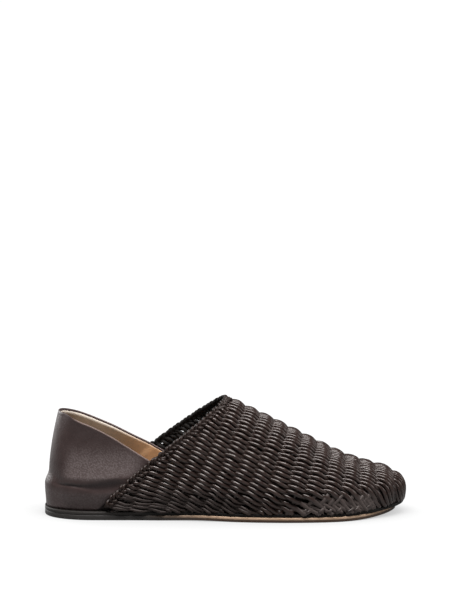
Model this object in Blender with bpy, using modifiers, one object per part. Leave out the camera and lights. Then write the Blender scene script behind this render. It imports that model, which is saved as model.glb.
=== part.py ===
"""Closed-back mule: woven leather vamp, plaited collar, smooth leather back, wedge heel and layered sole.

One right shoe, standing on its sole. The toe points to +X, the inner side of the foot is at +Y.
"""

import math
from collections import namedtuple

import bmesh
import bpy
import numpy as np
from mathutils import Vector

MM = 0.001
GAP = 0.3 * MM
SMALL_TURN = 0.002
SMALL_RISE = 0.01

# Last: the form that the leather back lies on, measured along the shoe from the back of its heel.
FORM_BACK = 3.0 * MM
FORM_NOSE = 252.3 * MM
HEEL_ROUND = 34 * MM
HEEL_ROUND_POWER = 2.3
TOE_ROUND = 72 * MM
TOE_ROUND_POWER = 2.2
TOE_SWING = 5 * MM
TOE_CAP = 48 * MM
TOE_CAP_POWER = 3.0
TOE_CAP_FROM = 0.55
HEEL_LEAN = 6.6 * MM
HEEL_LEAN_FROM = 30 * MM
HEEL_LEAN_RISE = 42 * MM
HEEL_LEAN_REACH = 90 * MM
HEEL_LEAN_POWER = 1.6
TUCK_HEIGHT = 14 * MM

# Sole layers and heel wedge.
OUTSOLE_THICK = 3.4 * MM
MIDSOLE_THICK = 2.0 * MM
TOE_SPRING = 3.4 * MM
SPRING_FROM = 205 * MM
SPRING_RUN = 45 * MM
ARCH_LIFT = 0.6 * MM
ARCH_FROM = 75 * MM
ARCH_TO = 140 * MM
WEDGE_LIFT = 16 * MM
WEDGE_FLAT_TO = 55 * MM
WEDGE_RUN = 115 * MM
WEDGE_END = 150 * MM
WEDGE_PROUD = 3.0 * MM
WEDGE_PROUD_TO = 22 * MM
WEDGE_FLUSH_AT = 40 * MM
WEDGE_SHOULDER = 2.2 * MM
INSOLE_THICK = 2.5 * MM

# Upper.
QUARTER_WALL = 2.0 * MM
QUARTER_FRONT_FOOT = 63 * MM
QUARTER_FRONT_TOP = 90 * MM
VAMP_GAP = 0.5 * MM
VAMP_WALL = 4.8 * MM
VAMP_FOOT_LIFT = 1.4 * MM
VAMP_FOOT_FADE = 9 * MM
COLLAR_FOOT_Z = 11 * MM
COLLAR_RISE = 68 * MM
PLAIT_RADIUS = 2.5 * MM
PLAIT_SET = 3.0 * MM
PLAIT_ROOM_SIDE = 5.4 * MM
PLAIT_ROOM_RIDGE = 4.6 * MM
PLAIT_CLEAR = 0.5 * MM
PLAIT_REACH = 0.982
PLAIT_POINTS = 45

# Grid cells of each sheet, along and across.
OUTSOLE_GRID = (44, 6)
MIDSOLE_GRID = (44, 4)
WEDGE_GRID = (30, 6)
INSOLE_GRID = (36, 4)
QUARTER_GRID = (40, 9)
VAMP_GRID = (26, 36)

# Sections of the last, in millimetres: half widths each side, height of the ridge, fullness of the arch
# and how far the wall turns in at the sole.
Section = namedtuple("Section", "x outer_half inner_half ridge fullness tuck")
SECTIONS = [
    Section(3, 29.5, 29.5, 112, 2.8, 0.8),
    Section(35, 30.5, 30.5, 110, 2.8, 0.8),
    Section(70, 31.0, 29.5, 103, 2.6, 1.2),
    Section(100, 33.5, 30.0, 90.5, 2.3, 2.2),
    Section(125, 37.0, 34.0, 78.2, 2.1, 3.0),
    Section(150, 40.5, 38.5, 65.7, 2.1, 3.4),
    Section(171, 42.0, 41.5, 55.0, 2.15, 3.5),
    Section(190, 42.0, 42.0, 45.3, 2.2, 3.5),
    Section(211, 41.0, 41.0, 35.5, 2.3, 3.5),
    Section(224, 40.0, 40.0, 31.6, 2.4, 3.5),
    Section(236, 39.0, 39.0, 30.2, 2.4, 3.5),
    Section(249, 38.0, 38.0, 28.4, 2.4, 3.5),
]

# Slanting collar line of the vamp each side of the foot, in millimetres: where it leaves the sole, how far
# forward it runs on its way up, and how it curves.
Collar = namedtuple("Collar", "foot run power")
OUTER_COLLAR = Collar(43.3, 83.5, 1.13)
INNER_COLLAR = Collar(41.0, 85.9, 1.28)

# Top edge of the leather back, in millimetres along the shoe and above the floor, each side of the foot.
TopPoint = namedtuple("TopPoint", "x outer inner")
TOPLINE = [
    TopPoint(3, 73.0, 73.0),
    TopPoint(9, 72.4, 71.2),
    TopPoint(20, 68.5, 67.2),
    TopPoint(32, 64.4, 62.8),
    TopPoint(46, 58.0, 57.6),
    TopPoint(60, 50.0, 51.3),
    TopPoint(72, 42.7, 45.7),
    TopPoint(92, 31.5, 34.5),
]

# How far the sole, the rand and the insole stand out from the last's plan outline, in millimetres.
Ledge = namedtuple("Ledge", "x sole rand insole")
LEDGES = [
    Ledge(0, 3.0, 3.0, -2.5),
    Ledge(60, 2.8, 2.3, -2.7),
    Ledge(110, 3.0, 2.2, -3.2),
    Ledge(180, 3.0, 2.2, -3.7),
    Ledge(225, 1.4, 1.6, -3.7),
    Ledge(252, -5.0, 0.6, -3.7),
]

Leather = namedtuple("Leather", "colour roughness")
FINISHES = {
    "outsole": Leather((0.42, 0.27, 0.14), 0.6),
    "midsole": Leather((0.012, 0.010, 0.010), 0.6),
    "heel_wedge": Leather((0.060, 0.036, 0.030), 0.5),
    "insole": Leather((0.36, 0.23, 0.13), 0.6),
    "quarter": Leather((0.055, 0.030, 0.024), 0.45),
    "vamp": Leather((0.050, 0.022, 0.014), 0.35),
    "collar_plait": Leather((0.050, 0.022, 0.014), 0.35),
}


def ease(value):
    """Smooth step from 0 to 1."""
    value = min(max(value, 0.0), 1.0)
    return value * value * (3 - 2 * value)


def blend(low, high, share):
    return low + (high - low) * share


def read(table, column, x, unit=MM):
    """Smooth value of a table's column at x, through each row's value."""
    places = np.array([row.x for row in table]) * MM
    values = np.array([getattr(row, column) for row in table]) * unit
    slopes = np.gradient(values, places)
    x = min(max(x, places[0]), places[-1])
    low = min(int(np.searchsorted(places, x, side="right")) - 1, len(places) - 2)
    step = places[low + 1] - places[low]
    share = (x - places[low]) / step
    start = values[low] * (1 + 2 * share) * (1 - share) ** 2
    end = values[low + 1] * share**2 * (3 - 2 * share)
    start_slope = slopes[low] * step * share * (1 - share) ** 2
    end_slope = slopes[low + 1] * step * share**2 * (share - 1)
    return start + end + start_slope + end_slope


def ground(x):
    """Height of the sole's underside: flat at heel and ball, a slight arch, and a sprung toe."""
    spring = TOE_SPRING * max(0.0, (x - SPRING_FROM) / SPRING_RUN) ** 2
    arch_share = min(max((x - ARCH_FROM) / (ARCH_TO - ARCH_FROM), 0.0), 1.0)
    return spring + ARCH_LIFT * math.sin(math.pi * arch_share) ** 2


def midsole_top(x):
    return ground(x) + OUTSOLE_THICK + GAP + MIDSOLE_THICK


def wedge_lift(x):
    """Height of the foot above the midsole: the wedge's thickness, fading out at the ball."""
    return WEDGE_LIFT * (1 - ease((x - WEDGE_FLAT_TO) / WEDGE_RUN))


def station_x(turn):
    """Place along the form for a station angle, 0 at the back of the heel and pi at the nose."""
    return FORM_BACK + (FORM_NOSE - FORM_BACK) * (1 - math.cos(turn)) / 2


def half_width(x, side):
    """Half width of the form in plan, rounded off at heel and toe."""
    width = read(SECTIONS, "inner_half" if side > 0 else "outer_half", x)
    from_round = max(0.0, 1 - (x - FORM_BACK) / HEEL_ROUND)
    width *= (1 - min(from_round, 1.0) ** HEEL_ROUND_POWER) ** (1 / HEEL_ROUND_POWER)
    into_toe = max(0.0, 1 - (FORM_NOSE - x) / TOE_ROUND)
    width *= (1 - min(into_toe, 1.0) ** TOE_ROUND_POWER) ** (1 / TOE_ROUND_POWER)
    return width


def centre_y(x):
    return TOE_SWING * max(0.0, x / FORM_NOSE) ** 3


def plan(turn):
    """Point of the plan outline. The angle is negative on the foot's outer side."""
    x = station_x(abs(turn))
    side = 1 if turn > 0 else -1
    return Vector((x, centre_y(x) + side * half_width(x, side)))


def plan_out(turn):
    """Outward direction of the plan outline."""
    if abs(turn) > math.pi - SMALL_TURN:
        return Vector((1, 0))
    along = plan(turn + SMALL_TURN) - plan(turn - SMALL_TURN)
    return Vector((-along.y, along.x)).normalized()


def form(turn, side, rise):
    """Point on the form: station angle, side of the foot, and height from feather line 0 to ridge 1."""
    plan_x = station_x(turn)
    cap = TOE_CAP * (1 - (1 - rise**TOE_CAP_POWER) ** (1 / TOE_CAP_POWER))
    share = (1 - math.cos(turn)) / 2
    x = plan_x - cap * ease((share - TOE_CAP_FROM) / (1 - TOE_CAP_FROM))
    foot = midsole_top(x) + GAP
    z = foot + (read(SECTIONS, "ridge", x) - foot) * rise
    fullness = read(SECTIONS, "fullness", x, unit=1)
    y = centre_y(plan_x) + side * half_width(plan_x, side) * (1 - rise**fullness) ** (1 / fullness)
    tuck_share = 0.5 + 0.5 * math.cos(math.pi * min(1.0, (z - foot) / TUCK_HEIGHT))
    tuck = plan_out(side * turn) * (read(SECTIONS, "tuck", plan_x) * tuck_share)
    lean = HEEL_LEAN * max(0.0, (z - HEEL_LEAN_FROM) / HEEL_LEAN_RISE) ** HEEL_LEAN_POWER
    lean *= 1 - ease((plan_x - FORM_BACK) / HEEL_LEAN_REACH)
    return Vector((x - tuck.x + lean, y - tuck.y, z))


def rise_at(x, z):
    """Height share of the form at a real height."""
    foot = midsole_top(x) + GAP
    return min(max((z - foot) / (read(SECTIONS, "ridge", x) - foot), 0.0), 1.0)


def collar_x(z, side):
    """Slanting collar line of the vamp, seen from the side. It reaches farther back on the inner side."""
    collar = INNER_COLLAR if side > 0 else OUTER_COLLAR
    share = max(0.0, (z - COLLAR_FOOT_Z) / COLLAR_RISE)
    return (collar.foot + collar.run * share**collar.power) * MM


def collar_turn(side, rise, shift):
    """Station angle where the form meets the collar line moved along the shoe by shift."""
    low, high = 0.1 * math.pi, 0.75 * math.pi
    for _ in range(40):
        middle = (low + high) / 2
        point = form(middle, side, rise)
        if point.x < collar_x(point.z, side) + shift:
            low = middle
        else:
            high = middle
    return middle


def ridge_angle(across):
    """Side and rise for a place across the vamp, from -1 at one feather line over the ridge to +1."""
    side = 1 if across > 0 else -1
    return side, math.sin(math.pi / 2 * (1 - abs(across)))


def mapped_grid(grid, place):
    """Mesh of a grid whose points are moved by place(u, v), both 0 to 1, with closed poles."""
    mesh = bmesh.new()
    bmesh.ops.create_grid(mesh, x_segments=grid[0], y_segments=grid[1], size=1.0)
    for vertex in mesh.verts:
        vertex.co = place((vertex.co.x + 1) / 2, (vertex.co.y + 1) / 2)
    bmesh.ops.remove_doubles(mesh, verts=mesh.verts, dist=0.01 * MM)
    bmesh.ops.recalc_face_normals(mesh, faces=mesh.faces)
    mesh.normal_update()
    return mesh


def add_part(name, data):
    """New object in the shoe's collection with its own leather."""
    part = bpy.data.objects.new(name, data)
    finish = FINISHES[name]
    material = bpy.data.materials.new(name)
    material.use_nodes = True
    shader = material.node_tree.nodes["Principled BSDF"]
    shader.inputs["Base Color"].default_value = (*finish.colour, 1)
    shader.inputs["Roughness"].default_value = finish.roughness
    shader.inputs["Metallic"].default_value = 0
    data.materials.append(material)
    shoe.objects.link(part)
    part.parent = stand
    return part


def add_mesh_part(name, mesh):
    data = bpy.data.meshes.new(name)
    mesh.to_mesh(data)
    mesh.free()
    data.shade_smooth()
    data.set_sharp_from_angle(angle=math.radians(40))
    return add_part(name, data)


def thicken(part, thickness, offset):
    solidify = part.modifiers.new("wall", "SOLIDIFY")
    solidify.thickness = thickness
    solidify.offset = offset


def outline_layer(grid, last_turn, ledge, bottom, top):
    """Layer with the last's outline, moved out by ledge(x), between two heights that vary along it."""

    def rim(turn):
        return plan(turn) + plan_out(turn) * ledge(station_x(abs(turn)))

    def place(u, v):
        turn = last_turn * u
        point = rim(-turn).lerp(rim(turn), v)
        return (point.x, point.y, bottom(point.x))

    mesh = mapped_grid(grid, place)
    lifted = bmesh.ops.extrude_face_region(mesh, geom=mesh.faces)["geom"]
    for vertex in (item for item in lifted if isinstance(item, bmesh.types.BMVert)):
        vertex.co.z = top(vertex.co.x)
    bmesh.ops.recalc_face_normals(mesh, faces=mesh.faces)
    return mesh


def sole_ledge(x):
    return read(LEDGES, "sole", x)


def make_outsole():
    mesh = outline_layer(OUTSOLE_GRID, math.pi, sole_ledge, ground, lambda x: ground(x) + OUTSOLE_THICK)
    add_mesh_part("outsole", mesh)


def make_midsole():
    def ledge(x):
        return read(LEDGES, "rand", x)

    def bottom(x):
        return ground(x) + OUTSOLE_THICK + GAP

    add_mesh_part("midsole", outline_layer(MIDSOLE_GRID, math.pi, ledge, bottom, midsole_top))


def make_heel_wedge():
    """Proud of the leather back at the heel, and flush inside the vamp farther forward."""

    def ledge(x):
        inside = -read(SECTIONS, "tuck", x) - GAP
        return blend(WEDGE_PROUD, inside, ease((x - WEDGE_PROUD_TO) / (WEDGE_FLUSH_AT - WEDGE_PROUD_TO)))

    def bottom(x):
        return midsole_top(x) + GAP

    def top(x):
        return midsole_top(x) + wedge_lift(x)

    end_share = (WEDGE_END - FORM_BACK) / (FORM_NOSE - FORM_BACK)
    end_turn = math.acos(1 - 2 * end_share)
    part = add_mesh_part("heel_wedge", outline_layer(WEDGE_GRID, end_turn, ledge, bottom, top))
    shoulder = part.modifiers.new("shoulder", "BEVEL")
    shoulder.width = WEDGE_SHOULDER
    shoulder.segments = 2
    shoulder.limit_method = "WEIGHT"
    weights = part.data.attributes.new("bevel_weight_edge", "FLOAT", "EDGE")
    for edge in part.data.edges:
        ends = [part.data.vertices[index].co for index in edge.vertices]
        at_top = all(end.z > top(end.x) - GAP for end in ends)
        normals = [face.normal for face in part.data.polygons if edge.key in face.edge_keys]
        is_rim = normals[0].angle(normals[1]) > math.radians(60)
        is_proud = all(end.x < WEDGE_PROUD_TO for end in ends)
        weights.data[edge.index].value = 1.0 if at_top and is_rim and is_proud else 0.0


def make_insole():
    def ledge(x):
        return read(LEDGES, "insole", x)

    def bottom(x):
        return midsole_top(x) + wedge_lift(x) + GAP

    mesh = outline_layer(INSOLE_GRID, math.pi, ledge, bottom, lambda x: bottom(x) + INSOLE_THICK)
    add_mesh_part("insole", mesh)


def make_quarter():
    """Leather back: one sheet round the heel, from the wedge up to its falling top edge."""

    def place(u, v):
        side = 1 if u > 0.5 else -1
        front_x = blend(QUARTER_FRONT_FOOT, QUARTER_FRONT_TOP, v)
        front_share = (front_x - FORM_BACK) / (FORM_NOSE - FORM_BACK)
        turn = abs(2 * u - 1) * math.acos(1 - 2 * front_share)
        x = station_x(turn)
        foot = midsole_top(x) + wedge_lift(x) + GAP
        top = read(TOPLINE, "inner" if side > 0 else "outer", x)
        height = blend(foot, top, v)
        return form(turn, side, rise_at(x, height))

    part = add_mesh_part("quarter", mapped_grid(QUARTER_GRID, place))
    thicken(part, QUARTER_WALL, -1)


def make_vamp():
    """Woven front: one wall from the plait to the toe, arched over the foot and closed at the nose."""

    def place(u, v):
        side, rise = ridge_angle(2 * v - 1)
        room = blend(PLAIT_ROOM_SIDE, PLAIT_ROOM_RIDGE, rise**4)
        start = collar_turn(side, rise, PLAIT_SET + room)
        point = form(blend(start, math.pi, u), side, rise)
        height = point.z - midsole_top(point.x) - GAP
        point.z += VAMP_FOOT_LIFT * max(0.0, 1 - height / VAMP_FOOT_FADE) ** 2
        return point

    mesh = mapped_grid(VAMP_GRID, place)
    for vertex in mesh.verts:
        vertex.co += vertex.normal * VAMP_GAP
    part = add_mesh_part("vamp", mesh)
    thicken(part, VAMP_WALL, 1)


def make_collar_plait():
    """Round border along the collar line, lying on the leather back and over the instep."""
    points = []
    for across in np.linspace(-PLAIT_REACH, PLAIT_REACH, PLAIT_POINTS):
        side, rise = ridge_angle(across)
        turn = collar_turn(side, rise, PLAIT_SET)
        here = form(turn, side, rise)
        ahead = form(turn + SMALL_TURN, side, rise) - here
        up = form(turn, side, min(rise + SMALL_RISE, 1.0)) - form(turn, side, rise - SMALL_RISE)
        out = ahead.cross(up).normalized() * -side
        points.append(here + out * (PLAIT_RADIUS + PLAIT_CLEAR))
    curve = bpy.data.curves.new("collar_plait", "CURVE")
    curve.dimensions = "3D"
    curve.bevel_depth = PLAIT_RADIUS
    curve.bevel_resolution = 2
    curve.use_fill_caps = True
    spline = curve.splines.new("POLY")
    spline.points.add(len(points) - 1)
    for knot, point in zip(spline.points, points):
        knot.co = (*point, 1)
    add_part("collar_plait", curve)


for leftover in list(bpy.data.objects):
    bpy.data.objects.remove(leftover)

shoe = bpy.data.collections.new("closed_back_mule")
bpy.context.scene.collection.children.link(shoe)
stand = bpy.data.objects.new("stand", None)
shoe.objects.link(stand)

make_outsole()
make_midsole()
make_heel_wedge()
make_insole()
make_quarter()
make_vamp()
make_collar_plait()

# The stand moves the shoe from its heel to the middle of its footprint.
bpy.context.view_layer.update()
solids = [part for part in shoe.objects if part != stand]
corners = [Vector(corner) for part in solids for corner in part.bound_box]
low = Vector(map(min, zip(*corners)))
high = Vector(map(max, zip(*corners)))
stand.location = (-(low.x + high.x) / 2, -(low.y + high.y) / 2, -low.z)
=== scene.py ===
# %% [markdown]
# # A closed-back mule with a woven front
#
# The shoe is a slip-on: a front of twined leather cord, a plaited border, a smooth leather back and a thin
# layered sole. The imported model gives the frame, and this lesson puts the real surfaces on it, one piece at
# a time, in metres, with the toe along +X and the outer side of the foot along -Y.

# %% Load the frame
import math
from collections import namedtuple

import bmesh
import bpy
import numpy as np
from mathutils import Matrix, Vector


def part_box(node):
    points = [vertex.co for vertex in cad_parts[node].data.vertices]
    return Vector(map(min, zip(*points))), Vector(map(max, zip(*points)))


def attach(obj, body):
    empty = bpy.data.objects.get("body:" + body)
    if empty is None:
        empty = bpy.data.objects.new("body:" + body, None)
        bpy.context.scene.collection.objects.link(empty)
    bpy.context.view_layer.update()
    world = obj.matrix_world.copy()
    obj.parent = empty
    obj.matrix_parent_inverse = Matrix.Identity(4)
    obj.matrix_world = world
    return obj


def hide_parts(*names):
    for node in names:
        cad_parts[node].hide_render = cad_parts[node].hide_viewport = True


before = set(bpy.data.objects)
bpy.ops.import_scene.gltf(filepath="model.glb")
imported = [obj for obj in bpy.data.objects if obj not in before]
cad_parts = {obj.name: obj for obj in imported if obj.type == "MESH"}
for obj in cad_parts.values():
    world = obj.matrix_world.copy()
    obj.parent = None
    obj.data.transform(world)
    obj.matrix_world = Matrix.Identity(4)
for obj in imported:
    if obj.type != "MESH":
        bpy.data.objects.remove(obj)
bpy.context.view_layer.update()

# %% [markdown]
# ## The last
#
# Shoemakers shape the leather over a solid form, the last. Every soft piece here lies on that form at its own
# distance, so the form comes first, as one function of three numbers: a station angle along the shoe, a side
# of the foot, and an angle up the section from the sole, 0, to the ridge, a quarter turn. The tables hold
# the sections in millimetres, measured from the back of the heel.

# %% Tables of the last
MM = 0.001
HALF_TURN = math.pi
QUARTER_TURN = math.pi / 2


def make_table(columns, *rows):
    """List of rows with named columns."""
    row_type = namedtuple("Row", columns)
    return [row_type(*row) for row in rows]


SECTIONS = make_table(
    "x outer_half inner_half ridge fullness tuck",
    (3, 29.5, 29.5, 112, 2.8, 0.8),
    (35, 30.5, 30.5, 110, 2.8, 0.8),
    (70, 31.0, 29.5, 103, 2.6, 1.2),
    (100, 33.5, 30.0, 90.5, 2.3, 2.2),
    (125, 37.0, 34.0, 78.2, 2.1, 3.0),
    (150, 40.5, 38.5, 65.7, 2.1, 3.4),
    (171, 42.0, 41.5, 55.0, 2.15, 3.5),
    (190, 42.0, 42.0, 45.3, 2.2, 3.5),
    (211, 41.0, 41.0, 35.5, 2.3, 3.5),
    (224, 40.0, 40.0, 31.6, 2.4, 3.5),
    (236, 39.0, 39.0, 30.2, 2.4, 3.5),
    (249, 38.0, 38.0, 28.4, 2.4, 3.5),
)
TOPLINE = make_table(
    "x outer inner",
    (3, 73.0, 73.0),
    (9, 72.4, 71.2),
    (20, 68.5, 67.2),
    (32, 64.4, 62.8),
    (46, 58.0, 57.6),
    (60, 50.0, 51.3),
    (72, 42.7, 45.7),
    (92, 31.5, 34.5),
)
LEDGES = make_table(
    "x sole rand insole",
    (0, 3.0, 3.0, -2.5),
    (60, 2.8, 2.3, -2.7),
    (110, 3.0, 2.2, -3.2),
    (180, 3.0, 2.2, -3.7),
    (225, 1.4, 1.6, -3.7),
    (252, -5.0, 0.6, -3.7),
)
INNER_COLLAR, OUTER_COLLAR = make_table("foot run power", (41.0, 85.9, 1.28), (43.3, 83.5, 1.13))


def ease(value):
    """Smooth step from 0 to 1."""
    value = np.clip(value, 0.0, 1.0)
    return value * value * (3 - 2 * value)


def ramp(value, start, run):
    """Smooth step that begins at start and takes run, both in millimetres."""
    return ease((value - start * MM) / (run * MM))


def blend(low, high, share):
    return low + (high - low) * share


def read(table, column, x, unit=MM):
    """Smooth values of a table's column at the places x."""
    places = np.array([row.x for row in table]) * MM
    values = np.array([getattr(row, column) for row in table]) * unit
    slopes = np.gradient(values, places)
    x = np.clip(x, places[0], places[-1])
    low = np.clip(np.searchsorted(places, x, side="right") - 1, 0, len(places) - 2)
    step = places[low + 1] - places[low]
    share = (x - places[low]) / step
    start = values[low] * (1 + 2 * share) * (1 - share) ** 2
    end = values[low + 1] * share**2 * (3 - 2 * share)
    start_slope = slopes[low] * step * share * (1 - share) ** 2
    end_slope = slopes[low + 1] * step * share**2 * (share - 1)
    return start + end + start_slope + end_slope


# %% Heights of the sole and wedge
GAP = 0.3 * MM
OUTSOLE_THICK = 3.4 * MM
MIDSOLE_THICK = 2.0 * MM
TOE_SPRING, SPRING_START, SPRING_RUN = 3.4 * MM, 205 * MM, 45 * MM
ARCH_LIFT, ARCH_START, ARCH_RUN = 0.6 * MM, 75 * MM, 65 * MM
WEDGE_LIFT = 16 * MM


def ground(x):
    """Underside of the sole: flat at heel and ball, a slight arch, and a sprung toe."""
    spring = TOE_SPRING * np.maximum(0.0, (x - SPRING_START) / SPRING_RUN) ** 2
    arch_share = np.clip((x - ARCH_START) / ARCH_RUN, 0.0, 1.0)
    return spring + ARCH_LIFT * np.sin(HALF_TURN * arch_share) ** 2


def midsole_top(x):
    return ground(x) + OUTSOLE_THICK + GAP + MIDSOLE_THICK


def wedge_lift(x):
    return WEDGE_LIFT * (1 - ramp(x, 55, 115))


# %% Outline and surface of the last
FORM_BACK = 3.0 * MM
FORM_NOSE = 252.3 * MM
HEEL_ROUND, HEEL_POWER = 34 * MM, 2.3
TOE_ROUND, TOE_POWER = 72 * MM, 2.2
TOE_SWING = 5 * MM
TOE_CAP = 48 * MM
TOE_CAP_POWER = 3.0
TUCK_HEIGHT = 14 * MM
LEAN, LEAN_POWER = 6.6 * MM, 1.6
LEAN_START, LEAN_RISE, LEAN_REACH = 30 * MM, 42 * MM, 90 * MM
SMALL_TURN = 0.002


def station_x(turn):
    return FORM_BACK + (FORM_NOSE - FORM_BACK) * (1 - np.cos(turn)) / 2


def station_turn(x):
    return np.arccos(1 - 2 * (x - FORM_BACK) / (FORM_NOSE - FORM_BACK))


def round_off(share, power):
    """Quarter of an oval, from 1 down to 0, squarer for a higher power."""
    return (1 - share**power) ** (1 / power)


def half_width(x, side):
    """Half width of the last in plan, rounded off at heel and toe."""
    width = np.where(side > 0, read(SECTIONS, "inner_half", x), read(SECTIONS, "outer_half", x))
    into_heel = np.clip(1 - (x - FORM_BACK) / HEEL_ROUND, 0.0, 1.0)
    into_toe = np.clip(1 - (FORM_NOSE - x) / TOE_ROUND, 0.0, 1.0)
    return width * round_off(into_heel, HEEL_POWER) * round_off(into_toe, TOE_POWER)


def centre_y(x):
    return TOE_SWING * np.maximum(0.0, x / FORM_NOSE) ** 3


def plan(turn):
    """Plan outline: the outer side for negative angles, and the other side past the nose."""
    wound = np.abs(turn)
    side = np.where(turn >= 0, 1.0, -1.0) * np.where(wound > HALF_TURN, -1.0, 1.0)
    x = station_x(np.where(wound > HALF_TURN, 2 * HALF_TURN - wound, wound))
    return np.stack([x, centre_y(x) + side * half_width(x, side)], -1)


def unit(vectors):
    return vectors / np.linalg.norm(vectors, axis=-1, keepdims=True)


def plan_out(turn):
    """Outward directions of the plan outline."""
    along = plan(turn + SMALL_TURN) - plan(turn - SMALL_TURN)
    return unit(np.stack([-along[..., 1], along[..., 0]], -1))


def level_x(turn, rise):
    """Place along the shoe of a point of the last: the toe cap leans back as it rises."""
    cap = TOE_CAP * (1 - round_off(rise, TOE_CAP_POWER))
    share = (1 - np.cos(turn)) / 2
    return station_x(turn) - cap * ease((share - 0.55) / 0.45)


def last_point(turn, side, angle):
    """Points on the last. Angles past the ridge or the nose carry on over to the other side."""
    turn, side, angle = np.broadcast_arrays(np.float64(turn), np.float64(side), np.float64(angle))
    side = np.where(angle > QUARTER_TURN, -side, side)
    side = np.where((turn > HALF_TURN) | (turn < 0), -side, side)
    turn = np.where(turn > HALF_TURN, 2 * HALF_TURN - turn, np.abs(turn))
    rise = np.clip(np.sin(angle), 0.0, 1.0)
    plan_x = station_x(turn)
    x = level_x(turn, rise)
    foot = midsole_top(x) + GAP
    z = foot + (read(SECTIONS, "ridge", x) - foot) * rise
    fullness = read(SECTIONS, "fullness", x, unit=1)
    y = centre_y(plan_x) + side * half_width(plan_x, side) * round_off(rise, fullness)
    tuck_share = 0.5 + 0.5 * np.cos(HALF_TURN * np.minimum(1.0, (z - foot) / TUCK_HEIGHT))
    tuck = plan_out(side * turn) * (read(SECTIONS, "tuck", plan_x) * tuck_share)[..., None]
    lean = LEAN * np.maximum(0.0, (z - LEAN_START) / LEAN_RISE) ** LEAN_POWER
    lean = lean * (1 - ease((plan_x - FORM_BACK) / LEAN_REACH))
    return np.stack([x - tuck[..., 0] + lean, y - tuck[..., 1], z], -1)


def last_out(turn, side, angle):
    """Outward directions of the last's surface."""
    ahead = last_point(turn + SMALL_TURN, side, angle) - last_point(turn - SMALL_TURN, side, angle)
    up = last_point(turn, side, angle + SMALL_TURN) - last_point(turn, side, angle - SMALL_TURN)
    return unit(np.cross(ahead, up) * -np.broadcast_to(side, ahead.shape[:-1])[..., None])


def on_last(*place):
    """Points on the last and the outward directions there."""
    return last_point(*place), last_out(*place)


def angle_at(x, z):
    """Section angle of a real height."""
    foot = midsole_top(x) + GAP
    return np.arcsin(np.clip((z - foot) / (read(SECTIONS, "ridge", x) - foot), 0.0, 1.0))


# %% [markdown]
# ## From the last to the frame
#
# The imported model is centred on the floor, so the last is moved once: its back end to the frame's low X, and
# its widest sole point to the outsole's low Y. Every piece adds the same shift.

# %% Shift into the frame
def ledge_of(layer):
    """Function of x: how far a sole layer stands out from the last."""
    return lambda x: read(LEDGES, layer, x)


def rim(turn, ledge):
    """Outline of a sole layer: the last's outline moved out."""
    return plan(turn) + plan_out(turn) * ledge(station_x(np.abs(turn)))[..., None]


outsole_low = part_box("outsole")[0]
sole_rim = rim(np.linspace(-HALF_TURN, HALF_TURN, 801), ledge_of("sole"))
SHIFT = np.append(np.array(outsole_low)[:2] - sole_rim.min(axis=0), 0.0)
print("shift to the frame, mm", SHIFT / MM)

# %% [markdown]
# ## Camera, floor and light
#
# The picture is a catalogue one: a long lens a little above the shoe, square to its outer side, on a white
# sweep. A white world gives the even light, a panel overhead the streaks on the cords, one off the toe the
# sheen on the nose, and one behind the heel the pale line down the back. The floor glows only for the lens,
# so it is white without lighting the shoe from below, and it glows less close by, as a soft shadow.

# %% Camera
CAMERA_DIP = 5.183


def new_object(name, data):
    """Object in the scene that shows the data."""
    thing = bpy.data.objects.new(name, data)
    bpy.context.scene.collection.objects.link(thing)
    return thing


camera_data = bpy.data.cameras.new("side_camera")
camera_data.lens = 135.85
camera_data.sensor_width = 36
camera = new_object("side_camera", camera_data)
camera.location = (-0.00065, -1.57986, 0.29305)
camera.rotation_euler = (math.radians(90 - CAMERA_DIP), 0, 0)
bpy.context.scene.camera = camera

# %% Node helpers
def new_node(tree, kind, values=None, links=None, **settings):
    """Adds a node with its settings, input values and links."""
    node = tree.nodes.new(kind)
    for name, value in settings.items():
        setattr(node, name, value)
    for name, value in (values or {}).items():
        node.inputs[name].default_value = value
    for name, socket in (links or {}).items():
        tree.links.new(socket, node.inputs[name])
    return node


def remap(tree, number, low, high, new_low=0.0, new_high=1.0, how="LINEAR"):
    """Number moved from the range low to high into a new range."""
    ends = {"From Min": low, "From Max": high, "To Min": new_low, "To Max": new_high}
    moved = new_node(tree, "ShaderNodeMapRange", ends, {"Value": number}, interpolation_type=how)
    return moved.outputs["Result"]


def times(tree, first, second):
    """Product of two numbers."""
    return new_node(tree, "ShaderNodeMath", links={0: first, 1: second}, operation="MULTIPLY").outputs[0]


# %% World and floor
WORLD_SEEN, WORLD_FELT = 1.03, 0.16
WORLD_WHITE = (1.0, 0.995, 0.985, 1)
FLOOR_HALF = 12.0
bpy.context.scene.view_settings.view_transform = "Standard"
world = bpy.data.worlds.new("white_sweep")
world.use_nodes = True
sky = world.node_tree.nodes["Background"]
sky.inputs["Color"].default_value = WORLD_WHITE
sky_seen = new_node(world.node_tree, "ShaderNodeLightPath").outputs["Is Camera Ray"]
sky_level = remap(world.node_tree, sky_seen, 0.0, 1.0, WORLD_FELT, WORLD_SEEN)
world.node_tree.links.new(sky_level, sky.inputs["Strength"])
bpy.context.scene.world = world


def mesh_object(name, mesh):
    """Object in the scene from a bmesh."""
    data = bpy.data.meshes.new(name)
    mesh.to_mesh(data)
    mesh.free()
    return new_object(name, data)


floor_mesh = bmesh.new()
bmesh.ops.create_grid(floor_mesh, x_segments=4, y_segments=4, size=FLOOR_HALF)
floor = mesh_object("floor", floor_mesh)

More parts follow.
